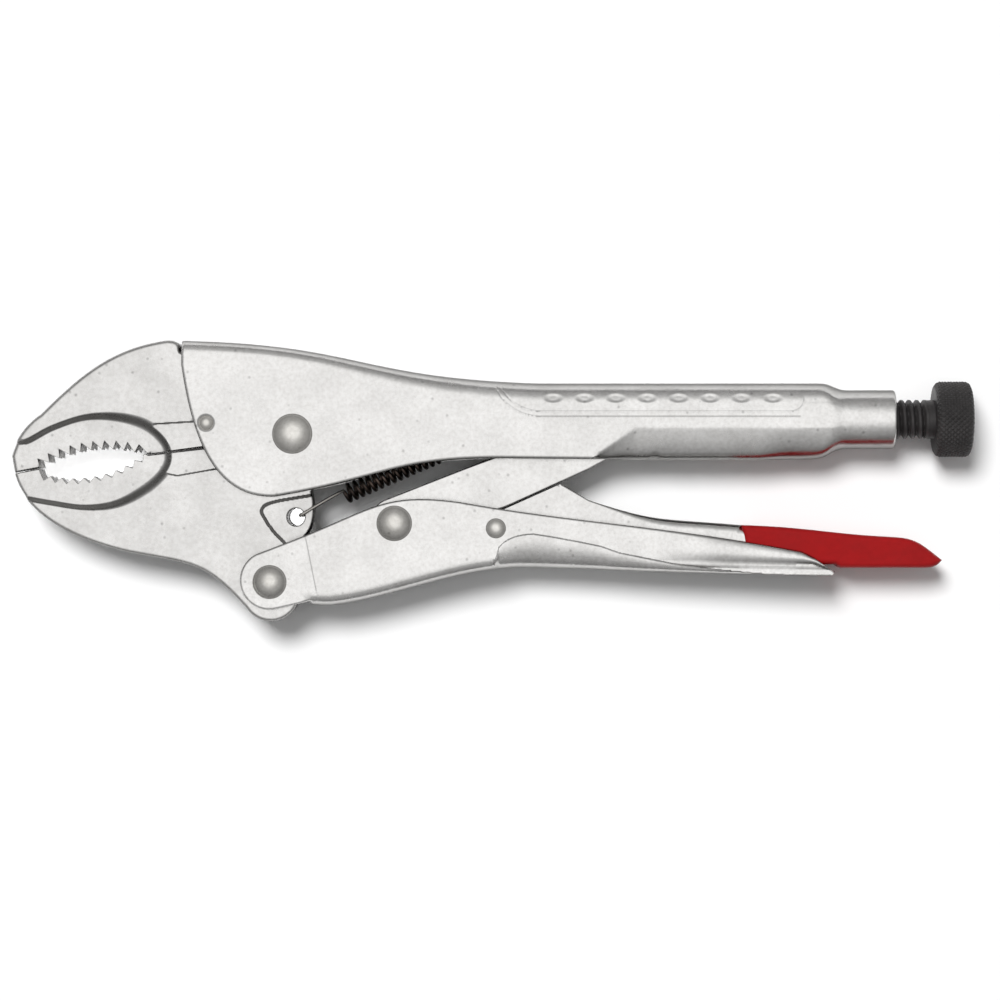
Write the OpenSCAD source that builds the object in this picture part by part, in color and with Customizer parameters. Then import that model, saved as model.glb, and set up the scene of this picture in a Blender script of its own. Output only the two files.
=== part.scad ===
// Locking pliers: curved jaws with a wire cutter, toggle action, adjusting screw and release lever.
// The tool lies on its side. +X runs from the jaws to the adjusting knob, +Y from the lower handle
// to the upper handle, +Z up. The origin is the middle of the bounding box's bottom face.
// All sizes are in millimetres.

/* [Jaws] */
// Thickness of both jaws
jaw_t = 10.6; // [8:0.1:13]
// Thickness of the moving jaw's ear that carries the spring
spring_ear_t = 7.6; // [5:0.1:10]
// Depth of the relieved face beside the teeth
relief_depth = 1.1; // [0.4:0.1:2]
// Depth of the relieved strip beside the wire cutter
cutter_relief = 0.4; // [0.1:0.1:1]
// Number of teeth on the fixed jaw
upper_teeth = 9; // [5:1:14]
// Number of teeth on the moving jaw
lower_teeth = 10; // [5:1:14]
// Gap left between the two closed jaws
jaw_gap = 0.3; // [0.2:0.05:0.6]

/* [Handles] */
// Outside width of both pressed channels
handle_w = 15.8; // [14:0.1:18]
// Thickness of the sheet the channels are pressed from
sheet_t = 2.4; // [1.6:0.1:3]
// Radius of the rounded corners along the grip
grip_r = 4.4; // [2:0.1:6]
// Width of the open seam under the grip
seam_w = 5; // [2:0.5:8]
// Outside radius of the round tail
tail_r = 7.7; // [7:0.1:9]

/* [Toggle link] */
// Thickness of the link
link_t = 8; // [5:0.1:10]
// Radius of the link's rounded end inside the handle
link_end_r = 5; // [3:0.1:6]
// Gap between the link's end and the tip of the screw
toggle_gap = 2.6; // [2.4:0.1:4]

/* [Release lever] */
// Width of the lever across its cheeks
lever_w = 9.4; // [7:0.1:10]
// Thickness of the lever's pressed sheet
lever_sheet = 1.8; // [1:0.1:2.5]
// Thickness of the coating on the lever's tail
coat_t = 0.5; // [0.3:0.1:1]

/* [Rivets] */
// Head radius of the jaw rivet
jaw_head_r = 5.2; // [4:0.1:6]
// Head radius of the rivet between the moving jaw and the lower handle
handle_head_r = 4.4; // [3.5:0.1:5]
// Head radius of the rivet between the lower handle and the link
link_head_r = 4.6; // [3.5:0.1:5]
// Head radius of the release lever's rivet
lever_head_r = 2.6; // [2:0.1:3.5]
// Radial clearance of a turning joint on its rivet
run_fit = 0.05; // [0.01:0.01:0.1]

/* [Adjusting screw] */
// Outside diameter of the screw
screw_d = 10.2; // [8:0.1:10.6]
// Pitch of the screw
screw_pitch = 2; // [1:0.25:2.5]
// Depth of the thread
thread_depth = 1; // [0.5:0.1:1.3]
// Diameter of the knurled knob
knob_d = 19.8; // [18:0.1:22]
// Length of the knurled knob
knob_l = 9.6; // [7:0.1:12]

/* [Spring] */
// Diameter of the spring's wire
wire_d = 1; // [0.7:0.1:1.4]
// Mean radius of the spring's coil
coil_r = 2.1; // [1.5:0.1:2.5]
// Number of coils
coils = 15; // [8:1:20]
// Pitch of the stretched coil
coil_pitch = 1.8; // [1.4:0.1:2.4]

/* [Hidden] */
$fn = 64;

// Height of the middle plane: the knob and the rivet heads touch the ground together.
mid_z = knob_d / 2;
in_w = handle_w - 2 * sheet_t;

// Joint axes, all parallel to Z, in the middle plane.
jaw_pivot = [-51.5, 12.2];
handle_pivot = [-57.4, -26.2];
link_pivot = [-25.1, -11];
link_end = [39.1, 16.1];
lever_pivot = [1.2, -12.3];
jaw_pin_pos = [-73.9, 15];
spring_hole = [-50.8, -9.4];
spring_lug = [15, 18.4];
screw_y = 16.1;
grip_y = 15.5;
grip_h = 19.8;

tail_x = 105.2;
knob_x = 115.5;
screw_tip = link_end[0] + link_end_r + toggle_gap;

steel = [0.82, 0.82, 0.80];
bright = [0.90, 0.90, 0.88];
black = [0.16, 0.15, 0.15];
red = [0.70, 0.08, 0.09];

// Points on a circle's arc, from angle a0 to a1.
function arc(c, r, a0, a1, n = 12) =
    [for (i = [0:n]) c + r * [cos(a0 + (a1 - a0) * i / n), sin(a0 + (a1 - a0) * i / n)]];

// Points on a smooth curve from a to b that leaves towards p and arrives from q.
function curve(a, p, q, b, n = 12) =
    [for (i = [0:n]) let (t = i / n, s = 1 - t)
        s * s * s * a + 3 * s * s * t * p + 3 * s * t * t * q + t * t * t * b];

// A solid of thickness t about the middle plane.
module slab(t) {
    translate([0, 0, mid_z - t / 2])
        linear_extrude(t)
            children();
}

// A round bar or bore through the middle plane.
module bar(p, r, t) {
    translate([p[0], p[1], mid_z - t / 2])
        cylinder(r = r, h = t);
}

// Removes the corners of both long edges along the outline points p, leaving a radius of radii[i] at
// point i. The body lies to the right of the path.
module edge_round(p, radii, steps = 5) {
    m = steps + 4;
    side_pts = [for (i = [0:len(p) - 1])
        let (
            d = p[min(i + 1, len(p) - 1)] - p[max(i - 1, 0)],
            out = [-d[1], d[0]] / norm(d),
            r = radii[i],
            ring = concat([[1, -1.12 * r], [1, 1], [-1.12 * r, 1]], arc([-r, -r], r, 97, -7, steps)))
            for (q = ring) [p[i][0] + out[0] * q[0], p[i][1] + out[1] * q[0], handle_w / 2 + q[1]]];
    last = (len(p) - 1) * m;
    for (side = [0, 1])
        translate([0, 0, mid_z])
            mirror([0, 0, side])
                polyhedron(
                    points = side_pts,
                    faces = concat(
                        [[for (k = [0:m - 1]) k]],
                        [for (i = [0:len(p) - 2], k = [0:m - 1], h = [0, 1])
                            let (k2 = (k + 1) % m, a = i * m, b = a + m)
                                h == 0 ? [a + k, b + k, b + k2] : [a + k, b + k2, a + k2]],
                        [[for (k = [m - 1:-1:0]) last + k]]));
}

// A rivet with a domed head on both sides. The crown of each dome is slightly flat.
module rivet(p, shank_r, head_r, head_h) {
    flat_r = head_r * 0.3;
    z0 = handle_w / 2;
    dome = [for (i = [0:8])
        [flat_r + (head_r - flat_r) * cos(90 * i / 8), z0 + head_h * sin(90 * i / 8)]];
    translate([p[0], p[1], mid_z])
        rotate_extrude()
            polygon(concat(
                [[0, -z0 - head_h]],
                [for (i = [8:-1:0]) [dome[i][0], -dome[i][1]]],
                [[shank_r, -z0], [shank_r, z0]],
                dome,
                [[0, z0 + head_h]]));
}

// ---- Jaws ----

// Line where the two halves of the wire cutter meet, from the mouth to the jaw rivet's boss.
seam_in = [-89.4, 7.1];
seam_out = [-60.9, 10.3];
boss_r = 9.4;

upper_tooth_c = [-100.2, -25.7];
lower_tooth_c = [-108.9, 30.6];

// Saw teeth of the fixed jaw, from the tip to the throat: steep on the throat side.
function upper_tooth_row() =
    [for (i = [0:upper_teeth], k = [0, 1])
        let (a = 120.7 - 43.2 * i / upper_teeth - 1.05 * k, r = 33.9 + 2.3 * k)
            upper_tooth_c + r * [cos(a), sin(a)]];

// Teeth of the moving jaw, from the tip to the throat.
function lower_tooth_row() =
    [for (i = [0:lower_teeth], k = [0, 1])
        if (i < lower_teeth || k == 0)
            let (a = 253.4 + 54.6 * i / lower_teeth + 2.6 * k, r = 29.9 + 1.5 * k)
                lower_tooth_c + r * [cos(a), sin(a)]];

// The relieved area beside the teeth, shared by both jaws.
module relief_area() {
    intersection() {
        translate([-100.05, -14.55])
            circle(r = 31.7, $fn = 96);
        translate([-106.7, 23.3])
            circle(r = 30.3, $fn = 96);
        translate([-130, -20])
            square([39, 45]);
    }
    translate([-91.15, 7.35])
        circle(r = 8.16);
    polygon([[-127, 10.3], [-120.3, 10.4], [-118.4, 11.4], [-114, 11], [-118, -2], [-127, -4]]);
}

// The relieved strip on both sides of the wire cutter.
module cutter_area() {
    polygon([[-88, 14.9], [-70, 16], [-66, 4], [-71.2, 3], [-81.5, 1.2], [-83.7, 1.6], [-88, 3]]);
}

module relieve() {
    difference() {
        children();
        for (side = [0, 1])
            translate([0, 0, mid_z])
                mirror([0, 0, side]) {
                    translate([0, 0, jaw_t / 2 - relief_depth])
                        linear_extrude(relief_depth + 1)
                            relief_area();
                    translate([0, 0, jaw_t / 2 - cutter_relief])
                        linear_extrude(cutter_relief + 1)
                            cutter_area();
                }
    }
}

module fixed_jaw_outline() {
    polygon(concat(
        [[-124.1, 2.2]],
        arc([-106.5, 1.5], 19, 165, 126, 6),
        curve([-117.1, 17.2], [-107.5, 26.7], [-99.3, 34.4], [-84.2, 36.5], 12),
        [[-82, 36.3], [-80.7, 35.4], [-80.7, 33.8], [-71, 33.5], [-60, 32.6], [-50, 31.2]],
        [[-43.5, 30.1], [-43.5, 24]],
        arc(jaw_pivot, boss_r + 0.4, 60, 187, 12),
        [seam_in],
        [for (i = [2 * upper_teeth + 1:-1:0]) upper_tooth_row()[i]]));
}

module fixed_jaw() {
    color(bright)
        difference() {
            relieve()
                slab(jaw_t)
                    fixed_jaw_outline();
            bar(jaw_pin_pos, 1.8, 30);
        }
}

module moving_jaw_outline() {
    polygon(concat(
        lower_tooth_row(),
        [seam_in + [0.1, -jaw_gap], seam_out + [0, -jaw_gap]],
        arc(jaw_pivot, boss_r, 192, -30, 16),
        curve([-43.4, 7.5], [-46, 3], [-46.6, 1], [-46.7, -2.7], 4),
        curve([-46.7, -2.7], [-45.5, -7], [-46, -12], [-48.3, -14.6], 6),
        [[-50, -20]],
        arc([-57.3, -29], 7.46, 10, -145, 10),
        curve([-63.4, -33.3], [-74.7, -20.5], [-77.5, -21.8], [-94.4, -18.5], 12),
        curve([-94.4, -18.5], [-106.3, -15.8], [-121, -9.8], [-124.1, 1.9], 12)));
}

// The thinner ear round the spring's hole.
module spring_ear_area() {
    polygon([[-60.3, -8.6], [-59.9, -7.2], [-58.6, -6.2], [-54.9, -5], [-48.5, -4],
        [-46.9, -2.9], [-40, -2.9], [-40, -20], [-50.9, -20]]);
}

module moving_jaw() {
    color(bright)
        difference() {
            relieve()
                slab(jaw_t)
                    moving_jaw_outline();
            for (side = [0, 1])
                translate([0, 0, mid_z])
                    mirror([0, 0, side])
                        translate([0, 0, spring_ear_t / 2])
                            linear_extrude(jaw_t)
                                spring_ear_area();
            bar(jaw_pivot, 4 + run_fit, 30);
            bar(handle_pivot, 3.5 + run_fit, 30);
            bar(spring_hole, 2.3, 30);
        }
}

// ---- Upper handle ----

handle_top = curve([-80.3, 36.4], [-34, 35.4], [-35.3, 26.9], [12, 25.4], 12);

module channel_outline() {
    polygon(concat(
        handle_top,
        [[44, 25.4], [44, 5.6]],
        curve([8, 5.8], [-25.7, 6.5], [-25, 1], [-56.2, -4.1], 12),
        curve([-56.2, -4.1], [-71.3, -4.7], [-77.4, 10.1], [-80.3, 30], 12)));
}

module channel_hollow() {
    polygon(concat(
        [for (p = handle_top) p + [0, -sheet_t]],
        [[50, 25.4 - sheet_t], [50, -10], [-90, -10], [-90, 36.4 - sheet_t]]));
}

module grip_section(inset) {
    h = grip_h / 2 - grip_r;
    w = handle_w / 2 - grip_r;
    r = grip_r - inset;
    polygon(concat(
        arc([h, w], r, 0, 90, 8),
        arc([-h, w], r, 90, 180, 8),
        arc([-h, -w], r, 180, 270, 8),
        arc([h, -w], r, 270, 360, 8)));
}

// A bar of the grip's section from x0 to x1.
module grip_bar(x0, x1, inset = 0) {
    translate([x0, grip_y, mid_z])
        rotate([90, 0, 90])
            linear_extrude(x1 - x0)
                grip_section(inset);
}

// Turned shape about the screw's axis; profile points are [along X, radius].
module turned(profile) {
    translate([0, screw_y, mid_z])
        rotate([0, 90, 0])
            rotate_extrude()
                polygon([for (p = profile) [p[1], p[0]]]);
}

module tail() {
    neck = curve([82.6, 11.2], [88, 10.7], [88, tail_r], [93.5, tail_r], 8);
    intersection() {
        turned(concat([[82.6, 0]], neck, [[94, tail_r], [94, 0]]));
        grip_bar(82.4, 95);
    }
    turned([[92.5, 0], [92.5, tail_r], [tail_x - 0.8, tail_r], [tail_x, tail_r - 0.7], [tail_x, 0]]);
}

module upper_handle() {
    color(steel)
        difference() {
            union() {
                difference() {
                    slab(handle_w)
                        channel_outline();
                    slab(in_w)
                        channel_hollow();
                    edge_round(
                        concat([[-82, 36.42]], handle_top, [[46, 25.4]]),
                        concat([2], [for (i = [0:12]) 2 + i * 0.2], [grip_r]));
                }
                difference() {
                    union() {
                        grip_bar(42, 83);
                        tail();
                    }
                    grip_bar(41, 84, sheet_t);
                    // Open seam under the grip, tapering shut towards the tail.
                    translate([41, 0, mid_z - seam_w / 2])
                        cube([41, 12, seam_w]);
                }
                // Lug under the roof that holds the spring's fixed end.
                translate([spring_lug[0] - 2, spring_lug[1] - 1.8, mid_z - 1.2])
                    cube([4, 7, 2.4]);
            }
            turned([[80, 0], [80, screw_d / 2 + run_fit], [tail_x + 1, screw_d / 2 + run_fit],
                [tail_x + 1, 0]]);
            bar(spring_lug, 0.9, 6);
            bar(jaw_pivot, 4, 30);
            bar(jaw_pin_pos, 1.8, 30);
        }
}

module jaw_rivet() {
    color(bright)
        rivet(jaw_pivot, 4, jaw_head_r, mid_z - handle_w / 2);
}

module jaw_pin() {
    color(bright)
        rivet(jaw_pin_pos, 1.8, 1.9, 0.3);
}

// ---- Lower handle ----

low_front = curve([-54, -16.4], [-30.8, -7.6], [-28.7, -2.7], [-8.2, -5.5], 10);
low_rear = curve([-8.2, -5.5], [21.7, -10.9], [45.6, -11.7], [80.5, -18.3], 10);
low_belly = curve([9.8, -22.5], [-7.6, -22], [-25.5, -30.6], [-41.6, -32.3], 8);
low_floor = [[88.2, -24.6], [65, -24.2], [40, -23.5], [25, -22.9], [9.8, -22.5]];

module low_outline() {
    polygon(concat(
        arc([-57.5, -25.8], 7.6, 282, 118, 14),
        low_front,
        low_rear,
        curve([80.5, -18.3], [85.7, -20.6], [85, -21.3], [89.1, -23.6], 5),
        low_floor,
        low_belly,
        [[-46.4, -32.2], [-47, -31.2], [-50, -31.9]]));
}

// The space inside the lower channel, above its floor.
module low_hollow() {
    up = [0, sheet_t];
    polygon(concat(
        [[-46.6, -40], [-46.6, -29.8]],
        [for (i = [8:-1:0]) low_belly[i] + up],
        [for (i = [4:-1:1]) low_floor[i] + up],
        [[95, -24.7 + sheet_t], [95, 0], [-70, 0], [-70, -40]]));
}

module lower_handle() {
    color(steel)
        difference() {
            slab(handle_w)
                low_outline();
            slab(in_w)
                low_hollow();
            edge_round(
                concat(
                    [[92, -24.75]],
                    low_floor,
                    [for (i = [1:8]) low_belly[i]],
                    [[-46, -33.4], [-50, -37.5]]),
                [3, 3, 3, 3, 4, 5, 5, 4, 3, 3, 3, 3, 3, 3, 3, 3]);
            bar(handle_pivot, 3.5, 30);
            bar(link_pivot, 3.5, 30);
            bar(lever_pivot, 2, 30);
        }
}

module handle_rivet() {
    color(bright)
        rivet(handle_pivot, 3.5, handle_head_r, mid_z - handle_w / 2);
}

module link_rivet() {
    color(bright)
        rivet(link_pivot, 3.5, link_head_r, mid_z - handle_w / 2);
}

module lever_rivet() {
    color(bright)
        rivet(lever_pivot, 2, lever_head_r, 1.1);
}

// ---- Toggle link ----

module toggle_link() {
    color(steel)
        difference() {
            slab(link_t)
                polygon(concat(
                    arc(link_pivot, 6.6, 115, 310, 14),
                    [[3.1, -7.1], [25.3, 3]],
                    arc(link_end, link_end_r, 300, 475, 12),
                    [[-1.1, 5.5]]));
            bar(link_pivot, 3.5 + run_fit, 30);
        }
}

// ---- Release lever ----

lever_back = curve([25.3, -5], [43.3, -10.9], [43.5, -9.6], [65, -11.5], 8);
tail_back = curve([65, -11.5], [82.9, -12], [87.3, -13.7], [104.4, -14.6], 8);
tail_tip = curve([104.4, -14.6], [110.5, -14.8], [111.9, -16.4], [117.3, -20.6], 5);

module lever_outline() {
    polygon(concat(
        arc(lever_pivot, 3.6, 250, 112, 8),
        [[17.2, -1.2], [18, -0.8], [18.8, -1.2]],
        lever_back,
        [for (p = tail_back) p + [0, -coat_t]],
        [[108, -15.6], [111.3, -17.2], [116, -20.6], [113.4, -22.1]],
        [[91, -22.1], [89.6, -21.3], [60, -21.2], [30, -19]]));
}

module release_lever() {
    color(steel)
        difference() {
            slab(lever_w)
                lever_outline();
            // Hollow between the cheeks, open underneath.
            slab(lever_w - 2 * lever_sheet)
                polygon([[6, -30], [6, -12], [19, -6.5], [29, -8.4], [47, -12.2], [65, -13.9],
                    [86, -16], [98, -17], [98, -30]]);
            bar(lever_pivot, 2 + run_fit, 30);
        }
}

// Red coating on the lever's tail: a closed skin round the steel.
module lever_sleeve() {
    color(red)
        difference() {
            slab(lever_w + 2 * coat_t)
                polygon(concat(
                    tail_back,
                    tail_tip,
                    [[115.9, -21.7], [113.8, -22.6], [90.8, -22.6], [89.4, -21.7], [65, -21.7]]));
            slab(lever_w)
                intersection() {
                    lever_outline();
                    translate([60, -40])
                        square([60, 40]);
                }
        }
}

// ---- Adjusting screw ----

module adjusting_screw() {
    r = screw_d / 2;
    core = r - thread_depth;
    turns = floor((knob_x - 2.6 - screw_tip - 1.5) / screw_pitch);
    thread = [for (i = [0:turns - 1], k = [0:3])
        let (x = screw_tip + 1.5 + (i + [0, 0.3, 0.5, 0.8][k]) * screw_pitch)
            [x, [core, r, r, core][k]]];
    color(black)
        turned(concat(
            [[screw_tip, 0], [screw_tip, core - 1], [screw_tip + 1, core]],
            thread,
            [[knob_x - 2.6, core], [knob_x - 2.6, r], [knob_x + 6, r], [knob_x + 6, 0]]));
}

module adjusting_knob() {
    r = knob_d / 2;
    color(black)
        difference() {
            turned([[knob_x, 0], [knob_x, r - 1.2], [knob_x + 0.35, r - 0.35], [knob_x + 1.2, r],
                [knob_x + knob_l - 1.2, r], [knob_x + knob_l - 0.35, r - 0.35],
                [knob_x + knob_l, r - 1.2], [knob_x + knob_l, 0]]);
            turned([[knob_x - 1, 0], [knob_x - 1, screw_d / 2], [knob_x + 6, screw_d / 2],
                [knob_x + 6, 0]]);
        }
}

// ---- Spring ----

spring_angle = 23.5;
spring_start = [-38.1, -3.5];
along = [cos(spring_angle), sin(spring_angle), 0];
across = [-sin(spring_angle), cos(spring_angle), 0];

// A point of the coil after t turns.
function coil_point(t) =
    [spring_start[0], spring_start[1], 0] + along * (coil_pitch * t)
    + coil_r * (cos(360 * t + 60) * across + sin(360 * t + 60) * [0, 0, 1]);

// The wire's centre line: hook in the moving jaw, coil, hook in the upper handle's lug.
spring_path = concat(
    [[spring_hole[0] + 1.4, spring_hole[1] + 0.6, -4.6]],
    [[spring_hole[0] + 1.4, spring_hole[1] + 0.6, 4.4]],
    [[spring_hole[0] + 1.8, spring_hole[1] + 0.8, 4.9]],
    [[-40.2, -3.2, 3.2]],
    [for (i = [0:coils * 12]) coil_point(i / 12)],
    [[-9.3, 7.8, 1.6]],
    [[spring_lug[0] - 0.7, spring_lug[1] - 0.3, 2]],
    [[spring_lug[0], spring_lug[1], 1.6]],
    [[spring_lug[0], spring_lug[1], -2]]);

function unit(v) = v / norm(v);

// Direction of the wire at point i of path p.
function heading(p, i) = unit(p[min(i + 1, len(p) - 1)] - p[max(i - 1, 0)]);

// A side direction that turns no more than the wire does.
function side_dirs(p) =
    [for (i = 0, n = [1, 0, 0]; i < len(p);
        i = i + 1, n = i < len(p) ? unit(n - (n * heading(p, i)) * heading(p, i)) : n) n];

module wire(p, r, sides = 6) {
    n = side_dirs(p);
    rings = [for (i = [0:len(p) - 1])
        let (b = cross(heading(p, i), n[i]))
            for (k = [0:sides - 1]) p[i] + r * (cos(360 * k / sides) * n[i] + sin(360 * k / sides) * b)];
    last = (len(p) - 1) * sides;
    polyhedron(
        points = rings,
        faces = concat(
            [[for (k = [0:sides - 1]) k]],
            [for (i = [0:len(p) - 2], k = [0:sides - 1])
                [i * sides + k, (i + 1) * sides + k, (i + 1) * sides + (k + 1) % sides,
                    i * sides + (k + 1) % sides]],
            [[for (k = [sides - 1:-1:0]) last + k]]));
}

module tension_spring() {
    color([0.24, 0.2, 0.18])
        translate([0, 0, mid_z])
            wire(spring_path, wire_d / 2);
}

upper_handle();
fixed_jaw();
jaw_pin();
jaw_rivet();
moving_jaw();
lower_handle();
handle_rivet();
link_rivet();
lever_rivet();
toggle_link();
release_lever();
lever_sleeve();
adjusting_screw();
adjusting_knob();
tension_spring();
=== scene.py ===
"""Locking pliers: the visual model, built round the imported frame.

Lengths are millimetres in the frame's own axes, with heights counted from the tool's middle plane,
unless a comment says otherwise. mesh_object() turns them into metres.
"""

import math

import bmesh
import bpy
import numpy as np
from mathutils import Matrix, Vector
from mathutils.geometry import delaunay_2d_cdt


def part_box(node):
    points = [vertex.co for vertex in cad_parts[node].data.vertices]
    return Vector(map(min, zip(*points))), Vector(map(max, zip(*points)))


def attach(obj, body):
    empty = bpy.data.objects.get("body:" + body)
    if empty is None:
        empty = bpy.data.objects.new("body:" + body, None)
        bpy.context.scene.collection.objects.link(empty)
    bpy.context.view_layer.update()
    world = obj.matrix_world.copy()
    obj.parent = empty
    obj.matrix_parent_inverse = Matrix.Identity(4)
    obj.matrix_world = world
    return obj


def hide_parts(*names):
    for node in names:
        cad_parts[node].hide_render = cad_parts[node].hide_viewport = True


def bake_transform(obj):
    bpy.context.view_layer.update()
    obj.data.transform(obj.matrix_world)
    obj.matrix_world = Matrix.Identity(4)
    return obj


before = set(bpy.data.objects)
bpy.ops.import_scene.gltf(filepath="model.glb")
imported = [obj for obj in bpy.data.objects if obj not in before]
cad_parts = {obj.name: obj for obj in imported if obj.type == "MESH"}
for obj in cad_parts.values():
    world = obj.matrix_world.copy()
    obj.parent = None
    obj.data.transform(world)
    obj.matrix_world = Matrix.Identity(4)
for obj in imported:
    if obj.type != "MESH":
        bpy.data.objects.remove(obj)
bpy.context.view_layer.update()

MM = 0.001      # metres


def middle(a, b):
    """Halfway between two places given in metres."""
    return 500 * (a + b)


def centre(node):
    """The middle of a CAD node's box in the XY plane."""
    low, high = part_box(node)
    return np.array([middle(low.x, high.x), middle(low.y, high.y)])


KNOB_LOW, KNOB_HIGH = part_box("adjusting_knob")
MID = middle(KNOB_LOW.z, KNOB_HIGH.z)       # height of the middle plane over the floor
AXIS_Y = middle(KNOB_LOW.y, KNOB_HIGH.y)    # the screw's axis
KNOB_R = 500 * (KNOB_HIGH.z - KNOB_LOW.z)
KNOB_START = 1000 * KNOB_LOW.x
KNOB_END = 1000 * KNOB_HIGH.x
SCREW_TIP = 1000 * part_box("adjusting_screw")[0].x
TAIL_END = 1000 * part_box("upper_handle")[1].x


JAW_PIVOT = centre("jaw_rivet")
HANDLE_PIVOT = centre("handle_rivet")
LINK_PIVOT = centre("link_rivet")
LEVER_PIVOT = centre("lever_rivet")
PIN = centre("jaw_pin")

# -------- plane geometry


def arc(c, r, a0, a1, n=12):
    """Part of a circle about c from angle a0 to a1, in degrees."""
    a = np.radians(np.linspace(a0, a1, n + 1))
    return np.array(c, float) + r * np.stack([np.cos(a), np.sin(a)], 1)


def circle(c, r, n=48):
    """A closed round outline of n points, anticlockwise."""
    return arc(c, r, 0, 360 - 360 / n, n - 1)


def curve(a, p, q, b, n=12):
    """A cubic curve from a to b that leaves towards p and arrives from q."""
    t = np.linspace(0, 1, n + 1)[:, None]
    a, p, q, b = (np.array(v, float) for v in (a, p, q, b))
    return (1 - t) ** 3 * a + 3 * (1 - t) ** 2 * t * p + 3 * (1 - t) * t * t * q + t ** 3 * b


def chain(*parts):
    """Joins point lists and leaves out repeated points."""
    p = np.vstack([np.array(q, float).reshape(-1, 2) for q in parts])
    keep = np.ones(len(p), bool)
    keep[1:] = np.linalg.norm(np.diff(p, axis=0), axis=1) > 1e-4
    return p[keep]


def dense(line, step, closed=False):
    """The same line with no stretch longer than step."""
    p = np.vstack([line, line[:1]]) if closed else line
    out = []
    for a, b in zip(p[:-1], p[1:]):
        n = max(1, int(math.ceil(np.linalg.norm(b - a) / step)))
        out.append(a + (b - a) * (np.arange(n) / n)[:, None])
    if not closed:
        out.append(p[-1:])
    return np.vstack(out)


def distance(pts, line, closed=False):
    """Distance of each point from a line of straight pieces."""
    p = np.vstack([line, line[:1]]) if closed else np.array(line, float)
    best = np.full(len(pts), 1e9)
    for a, b in zip(p[:-1], p[1:]):
        ab = b - a
        t = np.clip(((pts - a) @ ab) / max(ab @ ab, 1e-12), 0, 1)
        d = pts - a - t[:, None] * ab
        best = np.minimum(best, d[:, 0] ** 2 + d[:, 1] ** 2)
    return np.sqrt(best)


def inside(pts, poly):
    """Which points lie inside a closed outline."""
    x, y = pts[:, 0], pts[:, 1]
    res = np.zeros(len(pts), bool)
    q = np.roll(poly, -1, axis=0)
    for (x0, y0), (x1, y1) in zip(poly, q):
        if y0 != y1:
            hit = (y0 > y) != (y1 > y)
            res ^= hit & (x < (x1 - x0) * (y - y0) / (y1 - y0) + x0)
    return res


def signed(pts, poly):
    """Distance to a closed outline, positive inside."""
    d = distance(pts, poly, True)
    return np.where(inside(pts, poly), d, -d)


def ease(t):
    """A smooth step from 0 to 1 as t goes from 0 to 1."""
    t = np.clip(t, 0, 1)
    return t * t * (3 - 2 * t)


def fall(d, r):
    """How far a rounded edge of radius r has dropped at distance d from it."""
    u = np.clip(r - d, 0, r)
    return r - np.sqrt(np.maximum(r * r - u * u, 0))


def rings(r, n=5):
    """Distances that follow a rounded edge of radius r evenly, with a guard ring beyond it."""
    guard = r + 0.12
    return [r * (1 - math.cos(math.radians(90 * k / n))) for k in range(1, n + 1)] + [guard]


def offsets(line, distances, step, closed=False):
    """Points beside a line, on its left; those that come nearer to it at a bend are left out."""
    p = dense(line, step, closed)
    if closed:
        d = np.roll(p, -1, 0) - np.roll(p, 1, 0)
    else:
        d = np.gradient(p, axis=0)
    n = np.stack([-d[:, 1], d[:, 0]], 1) / np.maximum(np.linalg.norm(d, axis=1), 1e-9)[:, None]
    out = []
    for r in distances:
        q = p + n * r
        out.append(q[distance(q, line, closed) > 0.93 * r])
    return np.vstack(out)


def smooth_line(points, n):
    """A Catmull-Rom line through the points, n steps between each two."""
    points = np.array(points, float)
    p = np.vstack([2 * points[0] - points[1], points, 2 * points[-1] - points[-2]])
    t = (np.arange(n) / n)[:, None]
    out = []
    for i in range(1, len(p) - 2):
        a, b, c, d = p[i - 1], p[i], p[i + 1], p[i + 2]
        out.append(0.5 * (2 * b + (c - a) * t + (2 * a - 5 * b + 4 * c - d) * t ** 2 +
                          (3 * b - a - 3 * c + d) * t ** 3))
    out.append(p[-2:-1])
    return np.vstack(out)


def hexes(low, high, s):
    """Points in rows of equal triangles with sides s."""
    xs = np.arange(low[0], high[0] + s, s)
    ys = np.arange(low[1], high[1] + s, s * 0.866)
    x, y = np.meshgrid(xs, ys)
    x = x + (np.arange(len(ys)) % 2)[:, None] * s / 2
    return np.stack([x.ravel(), y.ravel()], 1)


# -------- meshes

WELD = 2e-6         # vertices nearer than this, in metres, become one
HOLLOW_STEP = 0.8   # mesh spacing along a hollow's outline
WALL_CLEAR = 0.02   # loose points keep this far from the outlines
CELL = 0.03         # and of those in one such square only one is kept


def used_only(verts, faces):
    """The mesh without vertices that no face uses and without repeated corners."""
    used = sorted({i for f in faces for i in f})
    remap = {v: i for i, v in enumerate(used)}
    out = []
    for f in faces:
        g = []
        for i in f:
            i = remap[i]
            if i not in g:
                g.append(i)
        if len(g) > 2:
            out.append(tuple(g))
    return verts[used], out


def mesh_object(name, verts, faces, body, mat, angle=38):
    """Makes an object that rides on body; edges sharper than angle, in degrees, stay sharp."""
    verts, faces = used_only(verts, faces)
    verts = verts * MM
    verts[:, 2] += MID * MM
    mesh = bpy.data.meshes.new(name)
    mesh.from_pydata(verts.tolist(), [], faces)
    mesh.validate()
    obj = bpy.data.objects.new(name, mesh)
    bpy.context.scene.collection.objects.link(obj)
    bm = bmesh.new()
    bm.from_mesh(mesh)
    bmesh.ops.remove_doubles(bm, verts=bm.verts, dist=WELD)
    bmesh.ops.recalc_face_normals(bm, faces=bm.faces)
    bm.to_mesh(mesh)
    bm.free()
    mesh.shade_smooth()
    mesh.set_sharp_from_angle(angle=math.radians(angle))
    mesh.materials.append(mat)
    if body:
        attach(obj, body)
    return obj


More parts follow.
